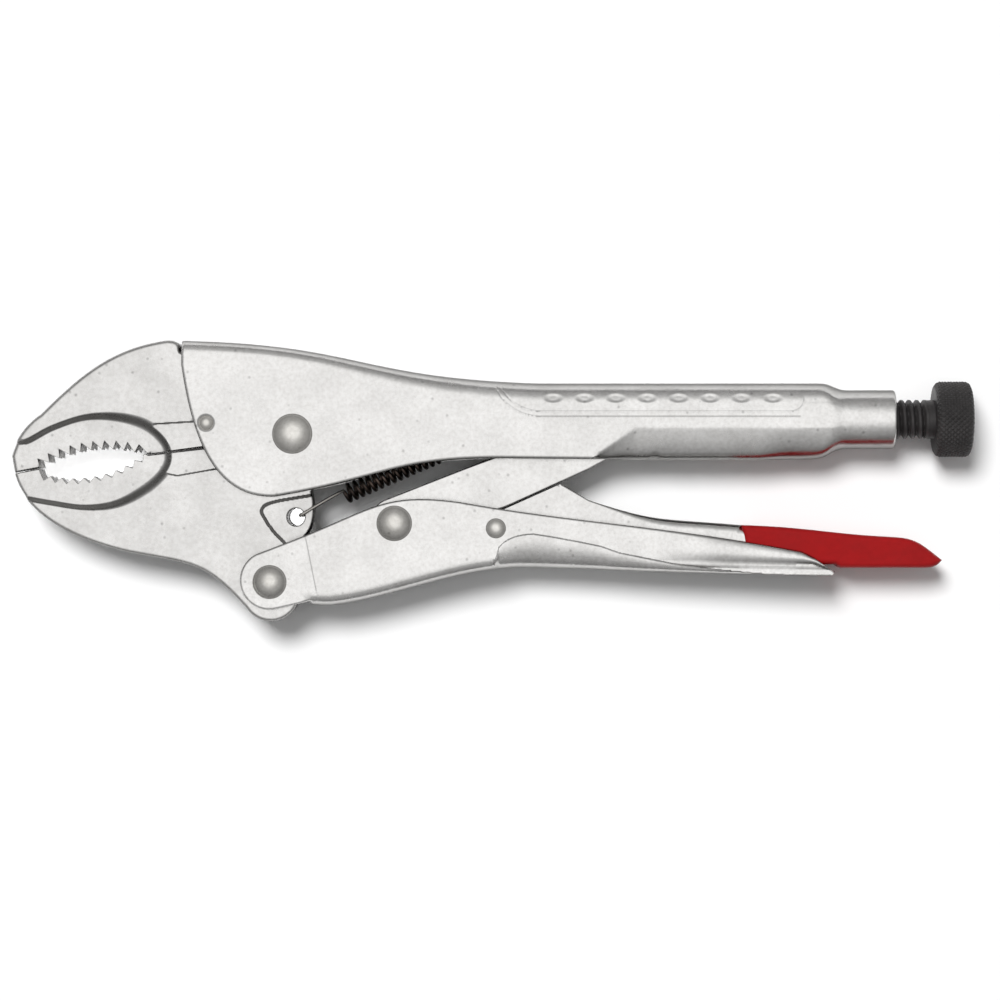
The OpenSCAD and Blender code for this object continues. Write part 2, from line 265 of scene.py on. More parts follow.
def triangles(points, edges):
    """A flat triangle mesh through the points that keeps the given edges, facing up."""
    out = delaunay_2d_cdt([Vector(p) for p in points], edges, [], 0, 1e-6)
    xy = np.array([(v.x, v.y) for v in out[0]])
    tri = np.array([f for f in out[2] if len(f) == 3])
    a, b, c = xy[tri[:, 0]], xy[tri[:, 1]], xy[tri[:, 2]]
    area = (b[:, 0] - a[:, 0]) * (c[:, 1] - a[:, 1]) - (b[:, 1] - a[:, 1]) * (c[:, 0] - a[:, 0])
    tri[area < 0] = tri[area < 0][:, ::-1]
    return xy, tri[np.abs(area) > 1e-9]


def loose_points(outline, edges, holes, step, coarse, fine, extra):
    """The mesh points of a plate that aren't on an outline: rings along edges, then a grid."""
    loose = [offsets(line, ds, step) for line, ds in edges] + [np.array(e) for e in extra]
    near = [(line, max(ds)) for line, ds in edges]
    low, high = outline.min(0), outline.max(0)
    masks = []
    for mask, s in list(fine) + [(None, coarse)]:
        g = hexes(low, high, s)
        g = g[inside(g, outline)]
        if mask is not None:
            g = g[mask(g)]
        for m in masks:
            g = g[~m(g)]
        if mask is not None:
            masks.append(mask)
        for line, far in near:
            g = g[distance(g, line) > far + 0.5 * s]
        loose.append(g)
    loose = np.vstack(loose)
    loose = loose[inside(loose, outline)]
    for wall in [outline] + list(holes):
        loose = loose[distance(loose, wall, True) > WALL_CLEAR]
    for h in holes:
        loose = loose[~inside(loose, h)]
    cell = np.round(loose / CELL).astype(np.int64)
    return loose[np.unique(cell, axis=0, return_index=True)[1]]


def side_walls(xy, tri, leg, open_x):
    """Walls of a plate on each edge that has one triangle, and where its hollow ends.

    leg says which triangles lie over the hollow. The layers are numbered as plate() does.
    """
    n = len(xy)
    owner = {}
    for k, t in enumerate(tri):
        for a, b in ((t[0], t[1]), (t[1], t[2]), (t[2], t[0])):
            owner[(a, b)] = k
    leg_points = set(tri[leg].ravel().tolist())
    walls = []
    for (a, b), k in owner.items():
        other = owner.get((b, a))
        if other is None:
            if open_x is not None and min(xy[a, 0], xy[b, 0]) > open_x - 1e-3:
                continue
            if leg[k]:
                walls.append((a + 2 * n, b + 2 * n, b, a))
                walls.append((a + n, b + n, b + 3 * n, a + 3 * n))
            else:
                f = [a + n, b + n]
                f += [b + 3 * n, b + 2 * n] if b in leg_points else []
                f += [b, a]
                f += [a + 2 * n, a + 3 * n] if a in leg_points else []
                walls.append(tuple(f))
        elif leg[other] and not leg[k]:
            walls.append((a + 3 * n, b + 3 * n, b + 2 * n, a + 2 * n))
    return walls


def plate(outline, top, edges, holes=(), hollow=None, inner=None, step=0.35, coarse=1.8,
          fine=(), extra=(), open_x=None):
    """A part that is the same on both sides of the middle plane, as vertices and faces.

    outline runs anticlockwise. top(pts) is the height of its upper face. edges lists
    (line, distances): where mesh rings follow a rounded edge. hollow is the outline of the space
    between the cheeks and inner(pts) half its width. fine lists (mask(pts), spacing), and
    elsewhere the spacing is coarse. extra lists more mesh points. At open_x the end is left open
    for a part that joins on. The mesh points' plan is returned too.
    """
    lines = [dense(outline, step, True)] + [dense(h, step, True) for h in holes]
    if hollow is not None:
        lines.append(dense(hollow, HOLLOW_STEP, True))
    links = []
    count = 0
    for line in lines:
        links += [(count + i, count + (i + 1) % len(line)) for i in range(len(line))]
        count += len(line)
    loose = loose_points(outline, edges, holes, step, coarse, fine, extra)
    xy, tri = triangles(np.vstack(lines + [loose]), links)
    mid = xy[tri].mean(1)
    keep = inside(mid, outline)
    for h in holes:
        keep &= ~inside(mid, h)
    tri, mid = tri[keep], mid[keep]
    # Vertices come in layers of n: top, bottom and, with a hollow, the inner faces of its cheeks.
    n = len(xy)
    zt = np.maximum(top(xy), 0)
    verts = [np.column_stack([xy, zt]), np.column_stack([xy, -zt])]
    leg = np.zeros(len(tri), bool)
    if hollow is not None:
        leg = inside(mid, hollow)
        zi = np.minimum(inner(xy), zt)
        verts += [np.column_stack([xy, zi]), np.column_stack([xy, -zi])]
    faces = [tuple(t) for t in tri] + [tuple(t[::-1] + n) for t in tri]
    faces += [tuple(t[::-1] + 2 * n) for t in tri[leg]] + [tuple(t + 3 * n) for t in tri[leg]]
    return np.vstack(verts), faces + side_walls(xy, tri, leg, open_x), xy


def grid_faces(rows, cols):
    """Faces of a grid of points, rows by cols, closed round its columns."""
    out = []
    for r in range(rows - 1):
        for c in range(cols):
            a = r * cols + c
            b = r * cols + (c + 1) % cols
            out.append((a, b, b + cols, a + cols))
    return out


def end_caps(rows, cols):
    """The two flat ends of such a grid."""
    return [tuple(range(cols))[::-1], tuple(range((rows - 1) * cols, rows * cols))]


def lathe(p, profile, sides):
    """Turned about a line along Z at p; profile points are (radius, height)."""
    a = np.linspace(0, 2 * math.pi, sides, endpoint=False)
    verts = []
    for r, z in profile:
        verts += [(p[0] + r * math.cos(t), p[1] + r * math.sin(t), z) for t in a]
    return np.array(verts), grid_faces(len(profile), sides)


# -------- materials


def node(tree, kind, **values):
    """A new node; values are inputs or settings by name."""
    n = tree.nodes.new(kind)
    for k, v in values.items():
        if k in n.inputs:
            n.inputs[k].default_value = v
        else:
            setattr(n, k, v)
    return n


def ramp(tree, source, low, high, a, b):
    """A colour that goes from a to b, each a grey or a colour, as source goes from low to high."""
    n = node(tree, "ShaderNodeValToRGB")
    for stop, place, level in zip(n.color_ramp.elements, (low, high), (a, b)):
        stop.position = place
        stop.color = (*level, 1) if len(np.shape(level)) else (level, level, level, 1)
    tree.links.new(source, n.inputs["Fac"])
    return n.outputs["Color"]


def noise(tree, where, scale, detail, rough):
    """Soft noise at scale patches a metre."""
    n = node(tree, "ShaderNodeTexNoise")
    n.inputs["Scale"].default_value = scale
    n.inputs["Detail"].default_value = detail
    n.inputs["Roughness"].default_value = rough
    tree.links.new(where, n.inputs["Vector"])
    return n.outputs["Fac"]


# A colour mix node's sockets.
MIX_FACTOR = 0
MIX_A = 6
MIX_B = 7
MIX_RESULT = 2


def multiply(tree, a, b):
    """The product of two colours."""
    n = node(tree, "ShaderNodeMix", data_type="RGBA", blend_type="MULTIPLY")
    n.inputs[MIX_FACTOR].default_value = 1.0
    tree.links.new(a, n.inputs[MIX_A])
    tree.links.new(b, n.inputs[MIX_B])
    return n.outputs[MIX_RESULT]


def bump_node(tree, source, strength, depth):
    """Bumps of the given depth in metres."""
    n = node(tree, "ShaderNodeBump", Strength=strength, Distance=depth)
    tree.links.new(source, n.inputs["Height"])
    return n


def new_material(name):
    """A material, its node tree and its shader."""
    m = bpy.data.materials.new(name)
    m.use_nodes = True
    return m, m.node_tree, m.node_tree.nodes["Principled BSDF"]


def metal(name, light, dark, rough, grain, pits, metallic=1.0, slope=None):
    """A plated metal: mottled colour, uneven polish, fine grain, small pits, painted shade on steep
    faces.

    slope is (how level a face is where the painted shade is full, where it ends, what it leaves).
    """
    m, t, bsdf = new_material(name)
    bsdf.inputs["Metallic"].default_value = metallic
    where = node(t, "ShaderNodeTexCoord").outputs["Object"]
    cloud = noise(t, where, 90, 5, 0.6)
    fine = noise(t, where, 900, 4, 0.6)
    colour = ramp(t, cloud, 0.35, 0.65, dark, light)
    speck = ramp(t, fine, 0.3, 0.62, (0.88, 0.875, 0.87), (1, 1, 1))
    colour = multiply(t, colour, speck)
    pit = node(t, "ShaderNodeTexVoronoi", Scale=260, Randomness=1)
    t.links.new(where, pit.inputs["Vector"])
    hole = ramp(t, pit.outputs["Distance"], 0.03, 0.14, (1 - pits, 1 - pits, 1 - pits), (1, 1, 1))
    colour = multiply(t, colour, hole)
    if slope is not None:
        # Painted shade: the steeper a face, the darker its colour and the tint of its reflection.
        facing = node(t, "ShaderNodeSeparateXYZ")
        t.links.new(node(t, "ShaderNodeNewGeometry").outputs["Normal"], facing.inputs[0])
        level = node(t, "ShaderNodeMath", operation="ABSOLUTE")
        t.links.new(facing.outputs["Z"], level.inputs[0])
        slope_shade = ramp(t, level.outputs[0], slope[0], slope[1], slope[2], 1.0)
        colour = multiply(t, colour, slope_shade)
        t.links.new(slope_shade, bsdf.inputs["Specular Tint"])
    t.links.new(colour, bsdf.inputs["Base Color"])
    sheen = noise(t, where, 160, 5, 0.65)
    t.links.new(ramp(t, sheen, 0.3, 0.7, rough[0], rough[1]), bsdf.inputs["Roughness"])
    bump = bump_node(t, fine, grain, 0.0002)
    dent = bump_node(t, cloud, 0.12, 0.0006)
    t.links.new(bump.outputs["Normal"], dent.inputs["Normal"])
    t.links.new(dent.outputs["Normal"], bsdf.inputs["Normal"])
    return m


# Light and dark tone, roughness from and to, grain, pits; slope sets the painted shade on steep
# faces.
SHEET = metal("nickel_sheet", (0.90, 0.89, 0.875), (0.80, 0.79, 0.775), (0.20, 0.29), 0.05, 0.3,
              slope=(0.42, 0.84, 0.46))
FORGED = metal("nickel_forging", (0.84, 0.83, 0.815), (0.73, 0.72, 0.705), (0.22, 0.32), 0.09, 0.35,
               slope=(0.72, 0.97, 0.50))
RIVET = metal("rivet_steel", (0.86, 0.84, 0.80), (0.76, 0.74, 0.70), (0.15, 0.22), 0.02, 0.3,
              slope=(0.3, 0.75, 0.45))
BLACK = metal("black_steel", (0.060, 0.056, 0.056), (0.035, 0.033, 0.033), (0.38, 0.55), 0.12,
              0.3, 0.5)
SPRING = metal("spring_steel", (0.16, 0.12, 0.10), (0.05, 0.04, 0.035), (0.28, 0.42), 0.05, 0.3)
WIRE = metal("spring_wire", (0.62, 0.60, 0.56), (0.46, 0.44, 0.41), (0.22, 0.34), 0.05, 0.3)


def coating():
    """Dipped vinyl: satin red with a faint orange peel."""
    m, t, bsdf = new_material("red_coating")
    where = node(t, "ShaderNodeTexCoord").outputs["Object"]
    cloud = noise(t, where, 70, 4, 0.6)
    peel = noise(t, where, 700, 3, 0.5)
    colour = ramp(t, cloud, 0.3, 0.7, (0.26, 0.005, 0.006), (0.32, 0.007, 0.008))
    colour = multiply(t, colour, ramp(t, peel, 0.3, 0.65, (0.9, 0.88, 0.88), (1, 1, 1)))
    t.links.new(colour, bsdf.inputs["Base Color"])
    t.links.new(ramp(t, cloud, 0.3, 0.7, 0.42, 0.55), bsdf.inputs["Roughness"])
    bsdf.inputs["Specular IOR Level"].default_value = 0.3
    bump = bump_node(t, peel, 0.12, 0.0002)
    t.links.new(bump.outputs["Normal"], bsdf.inputs["Normal"])
    return m


RED = coating()

# -------- jaws

JAW_T = 5.3                         # half the jaws' thickness
RELIEF_DEPTH = 2.3                  # of the face beside the teeth
STRIP_DEPTH = 0.55                  # of the cutter's strip
SEAM_IN = np.array([-89.4, 7.1])    # the closed cutter's ends on the fixed jaw
SEAM_OUT = np.array([-60.9, 10.3])
SEAM_GAP = np.array([0, -0.42])     # from the fixed jaw's cutter to the moving one's
TIP_Y = 2.2                         # of the fixed jaw's nose
NOSE_X = -124.1
SPRING_HOLE = np.array([-50.8, -9.4])
SPRING_HOLE_R = 2.3
# Radii of the rounded edges.
BACK_ROUND = 1.1
HEEL_ROUND = 0.9
EAR_ROUND = 0.7
HOLE_ROUND = 0.35
SEAM_ROUND = 0.32
LAND_ROUND = 0.4
TOOTH_ROUND = 0.12
TOOTH_RINGS = [0.04, 0.12, 0.25]
BEND_GRID = 0.24                    # mesh spacing where a face bends
SIDE_STEP = 0.3                     # mesh spacing along the outlines


def tooth_row(c, start, sweep, back, n, r, depth, last=True):
    """n saw teeth on an arc of radius r about c, each with a long flank and a steep one.

    The arc starts at start and covers sweep, the steep flank leans back, all in degrees.
    """
    out = []
    for i in range(n + 1):
        for k in (0, 1):
            if k and i == n and not last:
                continue
            a = math.radians(start + sweep * i / n + back * k)
            out.append(c + (r + depth * k) * np.array([math.cos(a), math.sin(a)]))
    return np.array(out)


upper_teeth = tooth_row([-100.2, -25.7], 120.7, -43.2, -1.05, 9, 33.9, 2.3)
lower_teeth = tooth_row([-108.9, 30.6], 253.4, 54.6, 2.6, 10, 29.9, 1.5, False)

RELIEF = smooth_line([(-127, 9.8), (-122.6, 10.1), (-120.2, 10.5), (-114, 13.8), (-105.6, 16.5),
                      (-97.2, 16.6), (-89.9, 14.6), (-85.2, 10.7), (-83.6, 6.6), (-84.9, 2.6),
                      (-89.4, -1.8), (-97.2, -5.9), (-105.6, -6.9), (-114.5, -5.7), (-121.3, -4.5),
                      (-128, -3.5)], 6)
CUTTER = np.array([[-88, 14.9], [-70, 16], [-66, 4], [-71.2, 3], [-81.5, 1.2], [-83.7, 1.6],
                   [-88, 3]], float)


def jaw_face(pts):
    """Height of a jaw's side: forged slope into the relieved face, and the cutter's strip."""
    z = np.full(len(pts), JAW_T)
    z -= STRIP_DEPTH * ease((signed(pts, CUTTER) + 0.1) / 0.5)
    width = 1.5 + 1.9 * ease((pts[:, 0] + 110) / 22)    # of the slope, wider at the throat
    return np.minimum(z, JAW_T - RELIEF_DEPTH * ease((signed(pts, RELIEF) / width) + 0.5))


def near_relief(pts):
    """Where the slope and the strip's edge need a fine mesh."""
    return (distance(pts, RELIEF, True) < 1.7) | (distance(pts, CUTTER, True) < 0.7)


fixed_back = chain([[NOSE_X, TIP_Y]], arc([-106.5, 1.5], 19, 165, 126, 8),
                   curve([-117.1, 17.2], [-107.5, 26.7], [-99.3, 34.4], [-84.2, 36.5], 24),
                   [[-82.6, 36.4], [-81.5, 35.9], [-80.9, 34.9], [-80.7, 33.6], [-79.5, 33.3],
                    [-76, 33.2]])
fixed_tang = chain([[-71, 33.5], [-60, 32.6], [-50, 31.2], [-43.5, 30.1], [-43.5, 24]],
                   arc(JAW_PIVOT, 9.8, 60, 187, 16))
fixed_mouth = chain([SEAM_IN], upper_teeth[::-1])
# The tip's land has fine serrations up to the first tooth.
LAND = np.array([upper_teeth[0], [NOSE_X, TIP_Y]])
SERRATIONS = 9
serrated = [LAND[0] + (LAND[1] - LAND[0]) * (i + 0.35 * k) / SERRATIONS + np.array([0, 0.28 * k])
            for i in range(SERRATIONS) for k in (0, 1)][1:]
fixed_outline = chain(fixed_back, fixed_tang, fixed_mouth, serrated)[::-1]
fixed_seam = np.array([SEAM_IN, SEAM_OUT])


def fixed_top(pts):
    """Height of the fixed jaw's side."""
    z = jaw_face(pts)
    z = z - fall(distance(pts, fixed_back), BACK_ROUND)
    z = z - fall(distance(pts, fixed_seam), SEAM_ROUND)
    z = z - fall(distance(pts, LAND), LAND_ROUND)
    return z - fall(distance(pts, chain(fixed_mouth, serrated)), TOOTH_ROUND)


verts, faces, _ = plate(
    fixed_outline, fixed_top,
    [(fixed_back[::-1], rings(BACK_ROUND)), (fixed_seam[::-1], rings(SEAM_ROUND, 3)),
     (chain(fixed_mouth, serrated)[::-1], TOOTH_RINGS), (LAND[::-1], rings(LAND_ROUND, 3))],
    holes=[circle(PIN, 1.85)], fine=[(near_relief, BEND_GRID)], step=SIDE_STEP)
piece = mesh_object("fixed_jaw_forging", verts, faces, "upper_handle", FORGED)
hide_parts("fixed_jaw")

LOWER_LAND = np.array([[NOSE_X, 1.95], [-117.8, 3.15]])
moving_seam = np.array([SEAM_IN, SEAM_OUT]) + SEAM_GAP
moving_mouth = chain(LOWER_LAND, lower_teeth, [moving_seam[0] + [0.1, 0], moving_seam[1]])
moving_eye = chain(arc(JAW_PIVOT, 9.4, 192, -30, 24),
                   curve([-43.4, 7.5], [-46, 3], [-46.6, 1], [-46.7, -2.7], 6))
moving_ear = chain(curve([-46.7, -2.7], [-45.5, -7], [-46, -12], [-48.3, -14.6], 10),
                   [[-50, -20]])
moving_heel = chain(arc([-57.3, -29], 7.46, 10, -145, 24),
                    curve([-63.4, -33.3], [-74.7, -20.5], [-77.5, -21.8], [-94.4, -18.5], 20),
                    curve([-94.4, -18.5], [-106.3, -15.8], [-121, -9.8], LOWER_LAND[0], 20))
moving_outline = chain(moving_mouth, moving_eye, moving_ear, moving_heel)[::-1]
EAR = chain(smooth_line([(-44, -3.2), (-47.9, -3.8), (-52.1, -4.5), (-56.4, -5.3), (-59.2, -6.5),
                         (-59.7, -8.6), (-56.8, -13.1), (-54.1, -15.9), (-49, -21.5)], 5),
            [[-40, -21]])


def moving_top(pts):
    """Height of the moving jaw's side, lower at the ear."""
    z = jaw_face(pts)
    z = z - 1.5 * ease((signed(pts, EAR) + 0.3) / 0.9)
    z = z - fall(distance(pts, moving_heel), HEEL_ROUND)
    z = z - fall(distance(pts, moving_ear), EAR_ROUND)
    z = z - fall(np.linalg.norm(pts - SPRING_HOLE, axis=1) - SPRING_HOLE_R, HOLE_ROUND)
    z = z - fall(distance(pts, moving_seam), SEAM_ROUND)
    z = z - fall(distance(pts, LOWER_LAND), LAND_ROUND)
    return z - fall(distance(pts, moving_mouth), TOOTH_ROUND)


verts, faces, _ = plate(
    moving_outline, moving_top,
    [(moving_heel[::-1], rings(HEEL_ROUND)), (moving_ear[::-1], rings(EAR_ROUND, 4)),
     (moving_mouth[::-1], TOOTH_RINGS), (LOWER_LAND[::-1], rings(LAND_ROUND, 3)),
     (moving_seam, rings(SEAM_ROUND, 3)),
     (arc(SPRING_HOLE, SPRING_HOLE_R, 360, 0, 48), rings(HOLE_ROUND, 3))],
    holes=[circle(SPRING_HOLE, SPRING_HOLE_R), circle(HANDLE_PIVOT, 3.55),
           circle(JAW_PIVOT, 4.05)],
    fine=[(lambda p: near_relief(p) | (distance(p, EAR, True) < 0.9), BEND_GRID)],
    step=SIDE_STEP)
piece = mesh_object("moving_jaw_forging", verts, faces, "moving_jaw", FORGED)
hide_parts("moving_jaw")

# -------- upper handle

HALF = 7.9          # half the channels' width
SHEET_T = 2.4
GRIP_LOW = 5.6      # the grip's underside
GRIP_TOP = 25.4
ROLL_X = 26         # where the underside starts to roll in
GRIP_END = 81.0     # where the tail starts
SHEET_ROUND = 0.85
HANDLE_NOSE = np.array([-80.3, 36.4])
handle_top = curve(HANDLE_NOSE, [-34, 35.4], [-35.3, 26.9], [12, GRIP_TOP], 40)
handle_low = curve([8, 5.8], [-25.7, 6.5], [-25, 1], [-56.2, -4.1], 30)
handle_front = curve([-56.2, -4.1], [-71.3, -4.7], [-77.4, 10.1], [-80.3, 30], 30)
roof = chain(handle_top, [[44, GRIP_TOP], [GRIP_END, GRIP_TOP]])
foot = chain([[GRIP_END, GRIP_LOW], [44, GRIP_LOW]], handle_low)
sheet_edge = chain([[27, GRIP_LOW]], handle_low, handle_front, [HANDLE_NOSE])
handle_outline = chain(foot, handle_front, roof)[::-1]


def roll_start(x):
    """Where the flat side turns into the rolled underside, at station x."""
    return GRIP_LOW + 8.3 * np.clip((x - ROLL_X) / 11.3, 0, 1)


def lip(x):
    """Half the gap between the rolled edges."""
    return 5.5 - 3 * ease((x - ROLL_X) / 11) - 2.42 * ease((x - 68) / 10)


def rolled(pts, half, inset):
    """Height of a skin of the channel, inset from the outside one."""
    x, y = pts[:, 0], pts[:, 1]
    s = lip(x)
    span = np.maximum(roll_start(x) - GRIP_LOW - inset, 1e-3)
    t = np.clip((roll_start(x) - y) / span, 0, 1)
    t = np.where(x > ROLL_X, t, 0)
    return s + (half - s) * np.sqrt(1 - t * t) - 2.3 * t * (1 - t)


# The grip panel: a double line round a row of shallow ovals.
panel_a = chain(curve([2.6, 24.6], [4.2, 20.6], [7.8, 18], [13.2, 17.9], 16), [[77.5, 17.9]],
                curve([77.5, 17.9], [80, 18], [81, 19.4], [81.2, 21.8], 8))
panel_b = chain(curve([1.2, 24.6], [3, 19.6], [7, 16.7], [13.2, 16.6], 16), [[80, 16.6]])
OVALS = [16 + 8.13 * i for i in range(8)]
OVAL_Y = 21.4
PIN_SEAT = 0.45     # depth of the dished seat round the jaw pin


def oval_depth(pts):
    """Depth of the row of ovals."""
    z = np.zeros(len(pts))
    for x in OVALS:
        q = ((pts[:, 0] - x) / 2.45) ** 2 + ((pts[:, 1] - OVAL_Y) / 1.2) ** 2
        z += 0.26 * ease((1.15 - np.sqrt(q)) / 0.75)
    return z


def groove(pts, line, width, depth):
    """Depth of a soft groove along a line."""
    return depth * np.exp(-((distance(pts, line) / width) ** 2))


def top_radius(x):
    """Radius of the edge between side and roof, which is rounder along the grip."""
    return 3.6 + 2.3 * ease((x + 60) / 80)


def handle_face(pts):
    """Height of the upper handle's side."""
    x = pts[:, 0]
    z = rolled(pts, HALF, 0)
    z = z - fall(distance(pts, roof), top_radius(x))
    z = z - fall(distance(pts, sheet_edge), SHEET_ROUND) * (x < 30)
    z = z - oval_depth(pts)
    z = z - groove(pts, panel_a, 0.17, 0.12) - groove(pts, panel_b, 0.17, 0.12)
    # A shallow dished seat round the jaw pin.
    return z - PIN_SEAT * ease((2.5 - np.linalg.norm(pts - PIN, axis=1)) / 0.9)


INNER_TOP = GRIP_TOP - SHEET_T
INNER_LOW = GRIP_LOW + SHEET_T
handle_hollow = chain(handle_top + [0, -SHEET_T],
                      [[44, INNER_TOP], [GRIP_END + 2, INNER_TOP], [GRIP_END + 2, INNER_LOW],
                       [78, INNER_LOW], [78, -12], [-90, -12], [-90, HANDLE_NOSE[1] - SHEET_T]])


def near_panel(pts):
    """Where the panel's lines and ovals need a fine mesh."""
    d = np.minimum(distance(pts, panel_a), distance(pts, panel_b))
    o = np.min([((pts[:, 0] - x) / 3.1) ** 2 + ((pts[:, 1] - OVAL_Y) / 1.9) ** 2 for x in OVALS],
               axis=0)
    return (d < 0.55) | (o < 1)


PANEL_GRID = 0.22   # mesh spacing round the panel
panel_points = hexes((0, 15.5), (84, 25), PANEL_GRID)
verts, faces, xy = plate(
    handle_outline, handle_face,
    [(roof[::-1], [0.08, 0.25, 0.5, 0.8, 1.15, 1.55, 2, 2.5, 3, 3.6, 4.2, 4.9, 5.6, 6.4, 7.2, 7.9]),
     (sheet_edge[::-1], rings(SHEET_ROUND)),
     (foot[foot[:, 0] > ROLL_X][::-1], [0.04, 0.14, 0.3, 0.55, 0.85, 1.2, 1.6, 2.1])],
    holes=[circle(JAW_PIVOT, 4), circle(PIN, 1.8)],
    hollow=handle_hollow, inner=lambda p: rolled(p, HALF - SHEET_T, SHEET_T),
    extra=[panel_points[near_panel(panel_points)]],
    fine=[(near_panel, PANEL_GRID), (lambda p: np.linalg.norm(p - PIN, axis=1) < 3, 0.25),
          (lambda p: (p[:, 0] > 24) & (p[:, 1] < 15), 0.7)],
    step=0.4, open_x=GRIP_END)


TAIL_R = 7.7
BORE_R = 5.18
BORE_START = GRIP_END + 3
TAIL_RIM = 0.7              # rounding of the tail's end
NECK_END = 94
STATION = 0.4               # mesh spacing along the neck


def smooth_min(a, b, k):
    """The smaller of two lengths, blended over a difference of k."""
    h = np.clip(0.5 + 0.5 * (b - a) / k, 0, 1)
    return b * (1 - h) + a * h - k * h * (1 - h)


def mirrored_ring(y, z):
    """A closed section from its upper half: (y, z) points, up one side and down the other."""
    return list(zip(y, z)) + list(zip(y[::-1], -z[::-1]))


def polar(section):
    """Angles and radii of a section's points about the screw's axis."""
    q = np.array(section) - [AXIS_Y, 0]
    return np.arctan2(q[:, 1], q[:, 0]), np.linalg.norm(q, axis=1)


def round_row(x, r, angles):
    """A ring of points about the screw's axis."""
    return [(x, AXIS_Y + q * math.cos(a), q * math.sin(a))
            for q, a in zip(np.broadcast_to(r, len(angles)), angles)]


def tail_rows(angles, radii):
    """Rings from the grip's end along the neck and the round tail, over its rim, into its bore."""
    neck = curve([82.6, 11.2], [88, 10.7], [88, 7.7], [93.5, TAIL_R], 20)
    rows = []
    for x in list(np.arange(GRIP_END + STATION, NECK_END, STATION)) + \
            list(np.arange(NECK_END, 104.3, 1.0)):
        # The squashed section grows round along the neck.
        limit = np.interp(x, neck[:, 0], neck[:, 1], left=12)
        r = smooth_min(radii, limit, 1.2) if x < NECK_END else np.full(len(radii), TAIL_R)
        w = ease((x - 90) / 4)
        rows.append(round_row(x, r * (1 - w) + TAIL_R * w, angles))
    for a in np.radians((0, 22, 45, 68, 90)):
        rows.append(round_row(TAIL_END - TAIL_RIM + TAIL_RIM * math.sin(a),
                              TAIL_R - TAIL_RIM + TAIL_RIM * math.cos(a), angles))
    rows.append(round_row(TAIL_END, 5.5, angles))
    rows.append(round_row(TAIL_END - 0.35, BORE_R, angles))
    rows.append(round_row(BORE_START, BORE_R, angles))
    return rows


def tail(verts, xy):
    """The neck, the round tail and its bore, grown from the channel's open end."""
    ends = np.where(np.abs(xy[:, 0] - GRIP_END) < 1e-3)[0]
    ends = ends[np.argsort(xy[ends, 1])]
    y = xy[ends, 1]
    outer = mirrored_ring(y, verts[ends, 2])
    held = (y > INNER_LOW - 1e-3) & (y < INNER_TOP + 1e-3)
    inner = mirrored_ring(y[held], verts[ends[held] + 2 * len(xy), 2])
    angles, radii = polar(outer)
    rows = [[(GRIP_END, *p) for p in outer]] + tail_rows(angles, radii)
    new = np.vstack(rows)
    out = [tuple(i + len(verts) for i in f) for f in grid_faces(len(rows), len(angles))]
    # From the bore back to the inside of the channel.
    inner_angles, _ = polar(inner)
    start = len(verts) + len(new)
    count = len(inner)
    new = np.vstack([new, [(GRIP_END, *p) for p in inner],
                     round_row(BORE_START, BORE_R, inner_angles)])
    for i in range(count):
        j = (i + 1) % count
        out.append((start + i, start + count + i, start + count + j, start + j))
    return new, out


more, more_faces = tail(verts, xy)
piece = mesh_object("upper_handle_shell", np.vstack([verts, more]), faces + more_faces,
                    "upper_handle", SHEET)
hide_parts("upper_handle")

# -------- lower handle

low_front = curve([-54, -16.4], [-30.8, -7.6], [-28.7, -2.7], [-8.2, -5.5], 24)
low_rear = curve([-8.2, -5.5], [21.7, -10.9], [45.6, -11.7], [80.5, -18.3], 24)
low_scoop = curve([80.5, -18.3], [85.7, -20.6], [85, -21.3], [89.1, -23.6], 10)
low_belly = curve([9.8, -22.5], [-7.6, -22], [-25.5, -30.6], [-41.6, -32.3], 20)
low_floor = np.array([[89.1, -23.6], [88.2, -24.6], [65, -24.2], [40, -23.5], [25, -22.9],
                      [9.8, -22.5]])
low_ear = arc([-57.5, -25.8], 7.6, 282, 118, 30)
low_nick = np.array([[-46.4, -32.2], [-47, -31.2], [-50, -31.9]])
low_cut = chain(low_nick, low_ear, low_front, low_rear, low_scoop)
low_under = chain(low_floor[1:], low_belly, low_nick[:1])
low_outline = chain(low_ear, low_front, low_rear, low_scoop, low_floor[1:], low_belly,
                    low_nick)[::-1]
# The swage is the step between the cheek and its rolled lower part.
swage = chain([[0.6, -21.7], [2, -17]], curve([2, -17], [4, -14.6], [7, -13.7], [10.9, -13.6], 8),
              [[16.1, -14.4], [22.6, -15.6], [28.4, -16.8], [33.3, -18.5], [42.5, -20.4],
               [49, -21.7], [60, -23.1], [72, -24.2], [89, -24.5]])
SWAGE_X = 0.6
CREASE = np.array([[-48.3, -14.2], [-45.2, -29.6]])     # in front of it the cheek is lower
NICK = np.array([[0.7, -20.7], [0.9, -25.5]])           # a short groove below the swage's start
CUT_ROUND = 0.6


def height_of(line, x):
    """The line's y at x."""
    return np.interp(x, line[:, 0], line[:, 1])


def below_swage(pts):
    """Which points lie in the cheek's rolled lower part."""
    return (pts[:, 0] > SWAGE_X) & (pts[:, 1] < height_of(swage, pts[:, 0]))


